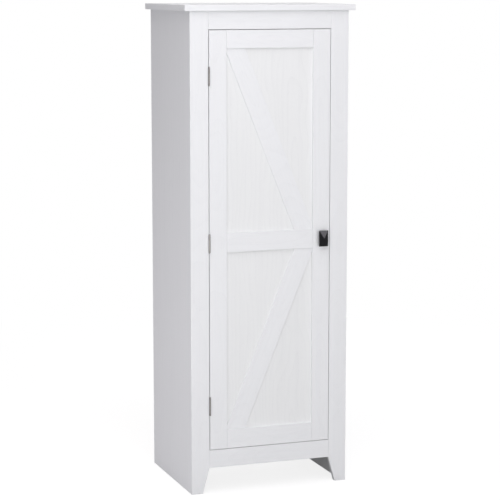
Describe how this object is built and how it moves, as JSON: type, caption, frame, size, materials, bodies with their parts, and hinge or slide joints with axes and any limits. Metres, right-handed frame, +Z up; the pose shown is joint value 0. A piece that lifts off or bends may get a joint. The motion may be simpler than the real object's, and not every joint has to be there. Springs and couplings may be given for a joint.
{
  "type": "storage cabinet",
  "caption": "Tall white storage cabinet with a face frame, tapered feet, a braced farmhouse door on butt hinges, a pyramid knob and adjustable shelves.",
  "frame": {"origin": "centre of the footprint, on the floor", "axes": "+Z up; the door faces -Y; +X is to the right as the cabinet is seen from the front, and the hinges are on the -X side"},
  "size_m": [0.6, 0.4624, 1.64],
  "materials": {
    "white_grained_board": "white foil with a fine embossed wood grain, satin",
    "thin_back_board": "thin hardboard, bare at the rear",
    "white_plastic": "moulded, matt",
    "satin_nickel": "satin plated steel",
    "bright_zinc": "bright zinc plate",
    "black_cast_metal": "black, satin",
    "magnet_steel": "dark steel pole plate"
  },
  "bodies": {
    "carcass": {"adjustable_shelf_1": "white_grained_board", "adjustable_shelf_2": "white_grained_board", "adjustable_shelf_3": "white_grained_board", "back_joiner_strip": "white_plastic", "back_panel_lower": "thin_back_board", "back_panel_upper": "thin_back_board", "bottom_panel": "white_grained_board", "catch_housing": "white_plastic", "catch_magnet": "magnet_steel", "fixed_shelf": "white_grained_board", "frame_bottom_rail": "white_grained_board", "frame_left_stile": "white_grained_board", "frame_right_stile": "white_grained_board", "frame_top_rail": "white_grained_board", "hinge_lower_frame_leaf": "satin_nickel", "hinge_lower_pin": "satin_nickel", "hinge_middle_frame_leaf": "satin_nickel", "hinge_middle_pin": "satin_nickel", "hinge_upper_frame_leaf": "satin_nickel", "hinge_upper_pin": "satin_nickel", "left_side_panel": "white_grained_board", "right_side_panel": "white_grained_board", "shelf_1_pin_front_left": "bright_zinc", "shelf_1_pin_front_right": "bright_zinc", "shelf_1_pin_rear_left": "bright_zinc", "shelf_1_pin_rear_right": "bright_zinc", "shelf_2_pin_front_left": "bright_zinc", "shelf_2_pin_front_right": "bright_zinc", "shelf_2_pin_rear_left": "bright_zinc", "shelf_2_pin_rear_right": "bright_zinc", "shelf_3_pin_front_left": "bright_zinc", "shelf_3_pin_front_right": "bright_zinc", "shelf_3_pin_rear_left": "bright_zinc", "shelf_3_pin_rear_right": "bright_zinc", "top_panel": "white_grained_board"},
    "door": {"catch_strike_plate": "bright_zinc", "door_board": "white_grained_board", "door_bottom_rail": "white_grained_board", "door_hinge_stile": "white_grained_board", "door_latch_stile": "white_grained_board", "door_lower_brace": "white_grained_board", "door_middle_rail": "white_grained_board", "door_top_rail": "white_grained_board", "door_upper_brace": "white_grained_board", "hinge_lower_door_leaf": "satin_nickel", "hinge_middle_door_leaf": "satin_nickel", "hinge_upper_door_leaf": "satin_nickel", "knob": "black_cast_metal", "knob_screw": "bright_zinc"}
  },
  "joints": [
    {"name": "door_swing", "type": "hinge", "parent": "carcass", "child": "door", "pos_m": [-0.21525, -0.21215, 0.85425], "axis": [0, 0, -1], "range_deg": [0, 180]}
  ]
}
